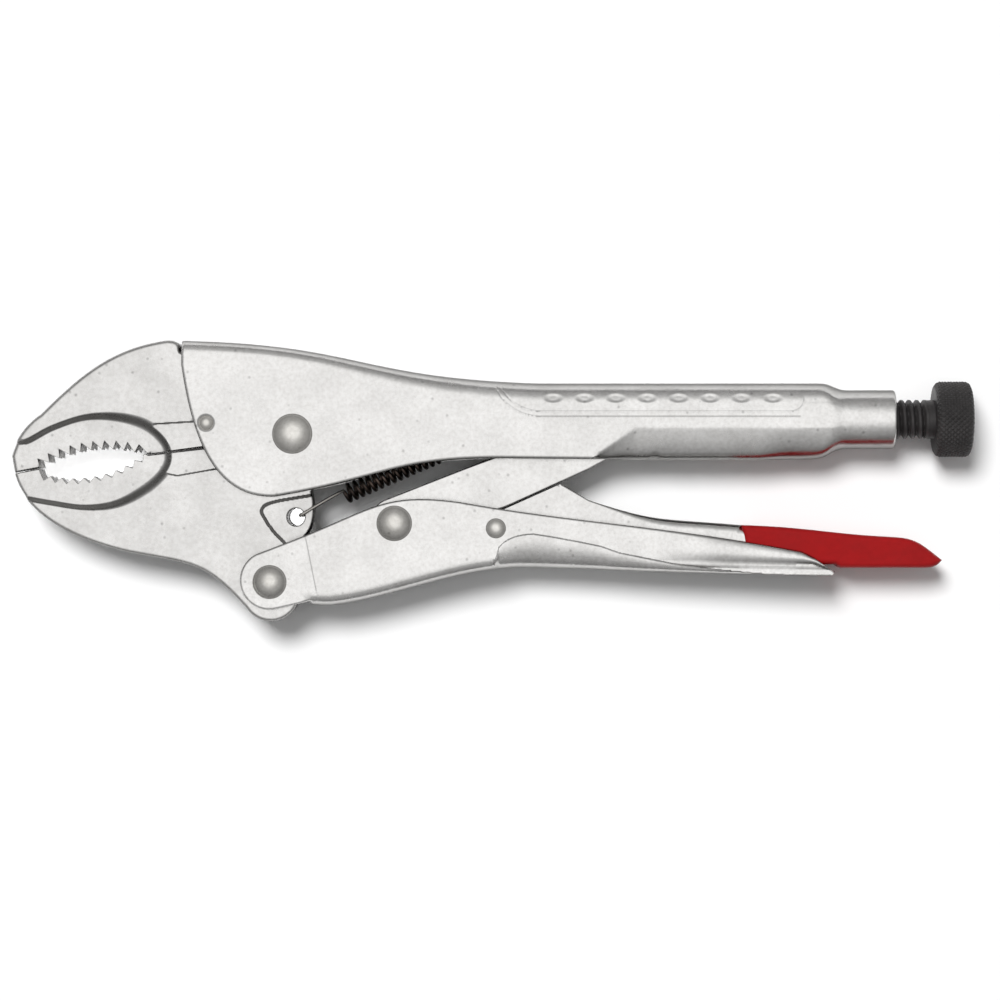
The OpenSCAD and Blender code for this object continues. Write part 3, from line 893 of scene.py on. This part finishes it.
def low_face(pts):
    """Height of the lower handle's side."""
    x, y = pts[:, 0], pts[:, 1]
    z = np.full(len(pts), HALF)
    ys = height_of(swage, x)
    yb = height_of(low_under[::-1], x)
    below = below_swage(pts)
    span = np.maximum(ys - yb, 0.3)
    t = np.clip((ys - y) / span, 0, 1)
    drop = np.minimum(4.8, 1.2 + 0.42 * span) * (1 - np.sqrt(np.maximum(1 - t ** 2, 0)))
    step = (0.3 - 0.2 * ease((x - 30) / 25)) * ease((ys - y) / 0.35)
    z = np.where(below, z - step - drop, z)
    bend = fall(distance(pts, low_under), 3.3 - 0.5 * ease((x + 5) / 30))
    z = np.where(below, z, z - bend * (x < 0.7) - (x >= 0.7) * np.minimum(bend, 0.3))
    # The rear half of the cheek is pressed to a soft curve.
    bow = ease((x - 30) / 35)
    yt = height_of(chain(low_rear, low_scoop), x)
    mid = 0.5 * (yt + np.maximum(ys, yb + 3))
    wide = np.maximum(yt - mid, 1)
    z = z - bow * 0.9 * np.clip((y - mid) / wide, -1, 1) ** 2 * (y > ys)
    z = z - fall(distance(pts, low_cut), CUT_ROUND)
    z = z - groove(pts, CREASE, 0.14, 0.1) - groove(pts, NICK, 0.12, 0.12)
    run, rise = CREASE[1] - CREASE[0]
    behind = (x - CREASE[0, 0]) - (y - CREASE[0, 1]) * (run / rise)
    return z - 0.12 * (1 - ease((behind + 0.2) / 0.4))


low_hollow = chain([[-46.6, -40], [-46.6, -29.8]], low_belly[::-1] + [0, SHEET_T],
                   low_floor[1:][::-1] + [0, SHEET_T],
                   [[95, -24.7 + SHEET_T], [95, 0], [-70, 0], [-70, -40]])


def near_lines(pts):
    """Where the swage, the crease and the nick need a fine mesh."""
    return (distance(pts, swage) < 0.7) | (distance(pts, CREASE) < 0.5) | \
        (distance(pts, NICK) < 0.5)


rear_points = hexes((26, -25), (90, -15), 0.28)
verts, faces, _ = plate(
    low_outline, low_face,
    [(low_under[::-1], [0.06, 0.22, 0.5, 0.85, 1.25, 1.7, 2.2, 2.7, 3.3, 3.5]),
     (low_cut[::-1], rings(CUT_ROUND, 4))],
    holes=[circle(HANDLE_PIVOT, 3.5), circle(LINK_PIVOT, 3.5), circle(LEVER_PIVOT, 2)],
    hollow=low_hollow, inner=lambda p: np.full(len(p), HALF - SHEET_T),
    fine=[(near_lines, 0.25), (below_swage, 0.5), (lambda p: p[:, 0] > 28, 0.8)],
    extra=[rear_points[(distance(rear_points, swage) < 0.9) | (rear_points[:, 0] > 79)],
           offsets(swage[:-2], [0.03, 0.2, 0.4, 0.65], 0.3),
           offsets(swage[:-2][::-1], [0.03, 0.12, 0.24, 0.36, 0.6], 0.3)],
    step=0.4)
piece = mesh_object("lower_handle_shell", verts, faces, "lower_handle", SHEET)
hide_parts("lower_handle")

# -------- toggle link

LINK_HALF = 4
LINK_ROUND = 0.45
link_outline = chain(arc(LINK_PIVOT, 6.6, 115, 310, 40), [[3.1, -7.1], [25.3, 3]],
                     arc([39.1, 16.1], 5, 300, 475, 30), [[-1.1, 5.5]])
link_edge = np.vstack([link_outline, link_outline[:1]])


def link_top(pts):
    """Height of the link's side."""
    return LINK_HALF - fall(distance(pts, link_edge), LINK_ROUND)


verts, faces, _ = plate(link_outline, link_top, [(link_edge, rings(LINK_ROUND, 4))],
                        holes=[circle(LINK_PIVOT, 3.55)], coarse=2.5)
piece = mesh_object("toggle_link_bar", verts, faces, "toggle_link", SHEET)
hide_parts("toggle_link")

# -------- release lever

lever_back = curve([25.3, -5], [43.3, -10.9], [43.5, -9.6], [65, -11.5], 20)
tail_back = curve([65, -11.5], [82.9, -12], [87.3, -13.7], [104.4, -14.6], 16)
tail_tip = curve([104.4, -14.6], [110.5, -14.8], [111.9, -16.4], [117.3, -20.6], 12)
lever_top = chain([[18.4, -1]], lever_back, tail_back - [0, 0.5],
                  [[108, -15.7], [111.3, -17.3], [115.6, -20.6]])
lever_outline = chain(arc(LEVER_PIVOT, 3.6, 250, 112, 24), [[17.2, -1.2], [18, -0.8]], lever_top,
                      [[113.2, -22.0], [91, -22.0], [89.6, -21.2], [60, -21.1], [30, -19]])[::-1]
lever_hollow = np.array([[6, -30], [6, -12], [19, -6.5], [29, -8.4], [47, -12.2], [65, -13.9],
                         [86, -16], [98, -17], [98, -30]], float)
LEVER_HALF = 4.7
lever_nose = np.array([[-0.1, -8.4], [17.2, -1.2], [18.4, -1]])


def lever_face(pts):
    """Height of the lever's side, pressed in where the coating hides it."""
    x = pts[:, 0]
    bend = fall(distance(pts, lever_top), 0.4 + 2.0 * ease((x - 24) / 25))
    coated = 1.3 * ease((x - 67.5) / 2)
    return LEVER_HALF - bend - coated - fall(distance(pts, lever_nose), 0.3)


verts, faces, _ = plate(
    lever_outline, lever_face, [(lever_top[::-1], [0.05, 0.18, 0.4, 0.7, 1.1, 1.6, 2.1, 2.5])],
    holes=[circle(LEVER_PIVOT, 2.05)], hollow=lever_hollow,
    inner=lambda p: np.full(len(p), 2.9), coarse=2)
piece = mesh_object("release_lever_pressing", verts, faces, "release_lever", SHEET)
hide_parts("release_lever")

sleeve_outline = chain(tail_back, tail_tip, curve([117.3, -20.6], [116, -22.3], [114.6, -22.6],
                                                  [113, -22.6], 6),
                       [[90.8, -22.6], [89.4, -21.7], [66.2, -21.7]],
                       curve([66.2, -21.7], [66.1, -17], [65.5, -14], [65, -11.6], 8))[::-1]
sleeve_edge = np.vstack([sleeve_outline, sleeve_outline[:1]])
SLEEVE_HALF = 5.2
SLEEVE_ROUND = 1.3


def sleeve_top(pts):
    """Height of the coating's side, narrower at the tip."""
    z = SLEEVE_HALF - fall(distance(pts, sleeve_edge), SLEEVE_ROUND)
    return np.maximum(z - 0.9 * ease((pts[:, 0] - 104) / 13) ** 2, 1.2)


verts, faces, _ = plate(sleeve_outline, sleeve_top, [(sleeve_edge, rings(SLEEVE_ROUND, 7))],
                        coarse=1.2, fine=[(lambda p: p[:, 0] > 103, 0.7)])
piece = mesh_object("lever_sleeve_coating", verts, faces, "release_lever", RED, 50)
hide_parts("lever_sleeve")

# -------- rivets


def rivet(name, cad, p, shank, head, seat, height, body):
    """A rivet of radius shank, with a domed head of radius head and the given height on each side.

    seat is the height of the sheet it sits on. Each dome's edge tucks under slightly there.
    """
    foot_r = head - 0.35
    rise = height - 0.3
    ball = (foot_r ** 2 + rise ** 2) / (2 * rise)
    cap = math.asin(foot_r / ball)
    dome = [(ball * math.sin(t), seat + height - ball * (1 - math.cos(t)))
            for t in np.linspace(cap, 0.01, 20)]
    side = [(head - 0.2, seat - 0.02), (head, seat + 0.08), (head - 0.04, seat + 0.2)] + dome
    profile = [(0.001, -seat - height)] + [(r, -z) for r, z in side[::-1]] + \
        [(shank, -seat + 0.02), (shank, seat - 0.02)] + side + [(0.001, seat + height)]
    v, f = lathe(p, profile, 72)
    obj = mesh_object(name, v, f, body, RIVET, 60)
    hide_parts(cad)


CROWN = MID - HALF      # the large heads reach the box's two faces
rivet("jaw_rivet_steel", "jaw_rivet", JAW_PIVOT, 3.98, 5.2, HALF, CROWN, "upper_handle")
rivet("handle_rivet_steel", "handle_rivet", HANDLE_PIVOT, 3.48, 4.4, HALF, CROWN, "lower_handle")
rivet("link_rivet_steel", "link_rivet", LINK_PIVOT, 3.48, 4.6, HALF, CROWN, "lower_handle")
rivet("lever_rivet_steel", "lever_rivet", LEVER_PIVOT, 1.98, 2.6, HALF, 1.1, "lower_handle")
rivet("jaw_pin_steel", "jaw_pin", PIN, 1.6, 1.75, HALF - PIN_SEAT, 0.7, "upper_handle")

# -------- adjusting screw and knob

PITCH = 2.0
ROOT_R = 4.15
THREAD_DEPTH = 0.95
COLLAR_R = 5.0235       # the plain collar between the thread and the knob
COLLAR = 2.7


def turned(stations, radius, sides):
    """Rings about the screw's axis; radius(x, angles) gives a radius for each angle."""
    a = np.linspace(0, 2 * math.pi, sides, endpoint=False)
    return np.vstack([round_row(x, radius(x, a), a) for x in stations])


def thread(x, a):
    """Rounded V thread with a chamfered lead at the tip and a run-out at the collar."""
    u = ((x - a / (2 * math.pi) * PITCH) / PITCH) % 1.0
    w = np.clip((0.5 - np.abs(u - 0.5)) / 0.42, 0, 1)
    r = ROOT_R + THREAD_DEPTH * np.clip(1.25 * w - 0.05, 0, 1)
    lead = np.clip((x - SCREW_TIP) / 1.6, 0, 1)
    r = np.minimum(r, 3.2 + 1.95 * lead)
    if x > KNOB_START - COLLAR:
        r = np.maximum(r, COLLAR_R * ease((x - KNOB_START + COLLAR) / 0.3))
    return r


stations = np.arange(SCREW_TIP, KNOB_START + 0.3, 0.2)
THREAD_SIDES = 64
v = turned(stations, thread, THREAD_SIDES)
f = grid_faces(len(stations), THREAD_SIDES) + end_caps(len(stations), THREAD_SIDES)
# It rides on the knob, because a screw turns as it runs out.
piece = mesh_object("adjusting_screw_thread", v, f, "adjusting_knob", BLACK, 50)
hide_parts("adjusting_screw")

DIAMONDS = 46           # round the knob
KNURL_DEPTH = 0.42
SHOULDER = 1.7
KNOB_SIDES = 432


def knurl(x, a):
    """Diamond knurl that runs on over the rounded shoulders."""
    tilt = (x - KNOB_START) / KNOB_R * 0.9
    p = np.abs(((DIAMONDS * (a + tilt) / (2 * math.pi)) % 1.0) * 2 - 1)
    q = np.abs(((DIAMONDS * (a - tilt) / (2 * math.pi)) % 1.0) * 2 - 1)
    cut = np.minimum(np.clip(p * 1.15, 0, 1), np.clip(q * 1.15, 0, 1))
    e = max(min(x - KNOB_START, KNOB_END - x), 0.0)
    return np.maximum(KNOB_R - fall(e, SHOULDER) - KNURL_DEPTH * (1 - cut), 0.5)


steps = [0, 0.03, 0.12, 0.25, 0.42, 0.62, 0.85, 1.1, 1.4]
stations = [KNOB_START + e for e in steps] + \
    list(np.arange(KNOB_START + 1.6, KNOB_END - 1.55, 0.17)) + [KNOB_END - e for e in steps[::-1]]
v = turned(stations, knurl, KNOB_SIDES)
f = grid_faces(len(stations), KNOB_SIDES)
# Its ends: rings inwards to the collar in front, and to the middle of a slight dish behind.
angles = np.linspace(0, 2 * math.pi, KNOB_SIDES, endpoint=False)
end_rings = ((KNOB_START + 0.02, 7.2), (KNOB_START + 0.02, 5.0), (KNOB_END, 7.4),
             (KNOB_END - 0.25, 6.9), (KNOB_END - 0.25, 0.02))
front = len(v)
last = front - KNOB_SIDES
back = front + 2 * KNOB_SIDES
v = np.vstack([v] + [round_row(x, r, angles) for x, r in end_rings])
for k in range(KNOB_SIDES):
    j = (k + 1) % KNOB_SIDES
    for p, q in ((front, 0), (front + KNOB_SIDES, front), (last, back),
                 (back, back + KNOB_SIDES), (back + KNOB_SIDES, back + 2 * KNOB_SIDES)):
        f.append((p + k, p + j, q + j, q + k))
piece = mesh_object("adjusting_knob_knurled", v, f, "adjusting_knob", BLACK, 60)
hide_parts("adjusting_knob")

# -------- tension spring

COILS = 15
COIL_R = 2.1
COIL_PITCH = 1.8
COIL_STEPS = 28         # in a turn
SLOPE = math.radians(23.5)
ALONG = np.array([math.cos(SLOPE), math.sin(SLOPE), 0])
ACROSS = np.array([-math.sin(SLOPE), math.cos(SLOPE), 0])
UP = np.array([0, 0, 1])
COIL_START = np.array([-38.1, -3.5, 0])
LUG = np.array([15, 18.4])      # in the upper handle, for the spring's rear end


def coil(turn):
    """The wire's middle after so many turns."""
    a = 2 * math.pi * turn + math.radians(60)
    return COIL_START + ALONG * COIL_PITCH * turn + \
        COIL_R * (math.cos(a) * ACROSS + math.sin(a) * UP)


def tube(path, r, sides=12):
    """A wire of radius r along a path, with flat ends."""
    d = np.gradient(path, axis=0)
    d /= np.linalg.norm(d, axis=1)[:, None]
    n = np.array([0.1, 0.3, 1.0])
    v = []
    for p, t in zip(path, d):
        n = n - (n @ t) * t
        n /= np.linalg.norm(n)
        b = np.cross(t, n)
        v += [p + r * (math.cos(q) * n + math.sin(q) * b)
              for q in np.linspace(0, 2 * math.pi, sides, endpoint=False)]
    return np.array(v), grid_faces(len(path), sides) + end_caps(len(path), sides)


hx, hy = SPRING_HOLE
front_hook = smooth_line([
    [hx + 2.6, hy + 1.5, -4.9], [hx + 1.5, hy + 0.7, -5.0], [hx + 0.9, hy + 0.4, -4.0],
    [hx + 1.0, hy + 0.4, 0], [hx + 1.2, hy + 0.5, 3.8], [hx + 2.0, hy + 0.9, 5.0],
    [-44.5, -5.9, 4.4], [-40.2, -3.4, 3.0], coil(0.0)], 8)
coils = np.array([coil(i / COIL_STEPS) for i in range(1, COILS * COIL_STEPS)])
rear_hook = smooth_line([
    coil(COILS - 0.02), [-9.3, 7.8, 1.6], [LUG[0] - 5, LUG[1] - 2.2, 2.0],
    [LUG[0] - 0.7, LUG[1] - 0.3, 2.0], [LUG[0], LUG[1], 1.2], [LUG[0], LUG[1], -2]], 8)
v, f = tube(coils, 0.5)
wound = mesh_object("tension_spring_coil", v, f, None, SPRING, 60)
v, f = tube(np.vstack([front_hook, coils[:1]]), 0.42)
hook = mesh_object("tension_spring_hook", v, f, None, WIRE, 60)
v, f = tube(np.vstack([coils[-1:], rear_hook]), 0.45)
mesh_object("tension_spring_rear", v, f, "upper_handle", SPRING, 60)
# The coil and the wire's front ride on no body; towards the lug the wire stays with the handle.
for obj in (wound, hook):
    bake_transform(obj)
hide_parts("tension_spring")

# -------- floor, light, camera

PAPER_TONE = 0.92
floor_mesh = bpy.data.meshes.new("floor")
floor_mesh.from_pydata([(-2, -2, 0), (2, -2, 0), (2, 2, 0), (-2, 2, 0)], [], [(0, 1, 2, 3)])
floor = bpy.data.objects.new("floor", floor_mesh)
bpy.context.scene.collection.objects.link(floor)
paper, _, shader = new_material("white_paper")
shader.inputs["Base Color"].default_value = (PAPER_TONE, PAPER_TONE, PAPER_TONE, 1)
shader.inputs["Roughness"].default_value = 1.0
shader.inputs["Specular IOR Level"].default_value = 0.0
floor_mesh.materials.append(paper)

world = bpy.data.worlds.new("studio")
world.use_nodes = True
tree = world.node_tree
direction = node(tree, "ShaderNodeTexCoord").outputs["Generated"]
height = node(tree, "ShaderNodeSeparateXYZ")
tree.links.new(direction, height.inputs[0])
# What the metal mirrors: a wide bright panel overhead, a little to one side, dim near the floor.
lean = node(tree, "ShaderNodeVectorMath", operation="DOT_PRODUCT")
lean.inputs[1].default_value = (0, 0.12, 0.993)
tree.links.new(direction, lean.inputs[0])
mirrored = ramp(tree, lean.outputs["Value"], 0.05, 0.94, 0.18, 1.05)
stops = mirrored.node.color_ramp.elements
for place, level in ((0.38, 0.30), (0.70, 0.45), (0.86, 0.77)):
    stops.new(place).color = (level, level, level, 1)
# What lights everything else: soft and brighter from the sides.
lit = ramp(tree, height.outputs["Z"], 0.1, 0.75, 0.38, 0.11)
choose = node(tree, "ShaderNodeMix", data_type="RGBA")
glossy = node(tree, "ShaderNodeLightPath").outputs["Is Glossy Ray"]
tree.links.new(glossy, choose.inputs[MIX_FACTOR])
tree.links.new(lit, choose.inputs[MIX_A])
tree.links.new(mirrored, choose.inputs[MIX_B])
tree.links.new(choose.outputs[MIX_RESULT], tree.nodes["Background"].inputs["Color"])
bpy.context.scene.world = world


def light(name, kind, at=(0, 0, 0), **values):
    """A lamp of a kind with its settings, at a place in metres, left out of reflections."""
    data = bpy.data.lights.new(name, kind)
    for k, v in values.items():
        setattr(data, k, v)
    obj = bpy.data.objects.new(name, data)
    obj.location = at
    obj.visible_glossy = False
    bpy.context.scene.collection.objects.link(obj)
    return obj


def spot(name, at, height, radius, power):
    """A narrow lamp straight down, through an opening, onto the paper."""
    light(name, "SPOT", (at[0] * MM, at[1] * MM, height), energy=power, spot_blend=0.2,
          spot_size=2 * math.atan(MM * radius / height), shadow_soft_size=0.001)


KEY_DIRECTION = Vector((0.26, -0.43, -1))
light("overhead", "AREA", (0, -0.02, 1.05), shape="RECTANGLE", size=1.1, size_y=0.5, energy=1.62)
key = light("key", "SUN", energy=3.0, angle=math.radians(22))
key.rotation_euler = KEY_DIRECTION.to_track_quat("-Z", "Y").to_euler()
spot("mouth", (-105, 4.5), 0.42, 14.5, 5.2)
spot("spring_hole", SPRING_HOLE, 0.22, 3.4, 2.4)

# The camera looks straight down; in metres.
LOOK = Vector((0.00227, -0.00496, MID * MM))    # the picture's middle
VIEW_WIDTH = 0.2612
DISTANCE = 0.85
SENSOR = 36             # mm
cam_data = bpy.data.cameras.new("camera")
cam_data.sensor_width = SENSOR
cam_data.lens = SENSOR * DISTANCE / VIEW_WIDTH
cam_data.clip_start = 0.01
camera = bpy.data.objects.new("camera", cam_data)
camera.location = LOOK + Vector((0, 0, DISTANCE))
bpy.context.scene.collection.objects.link(camera)
bpy.context.scene.camera = camera
bpy.context.scene.view_settings.view_transform = "Standard"
bpy.context.scene.view_settings.look = "None"
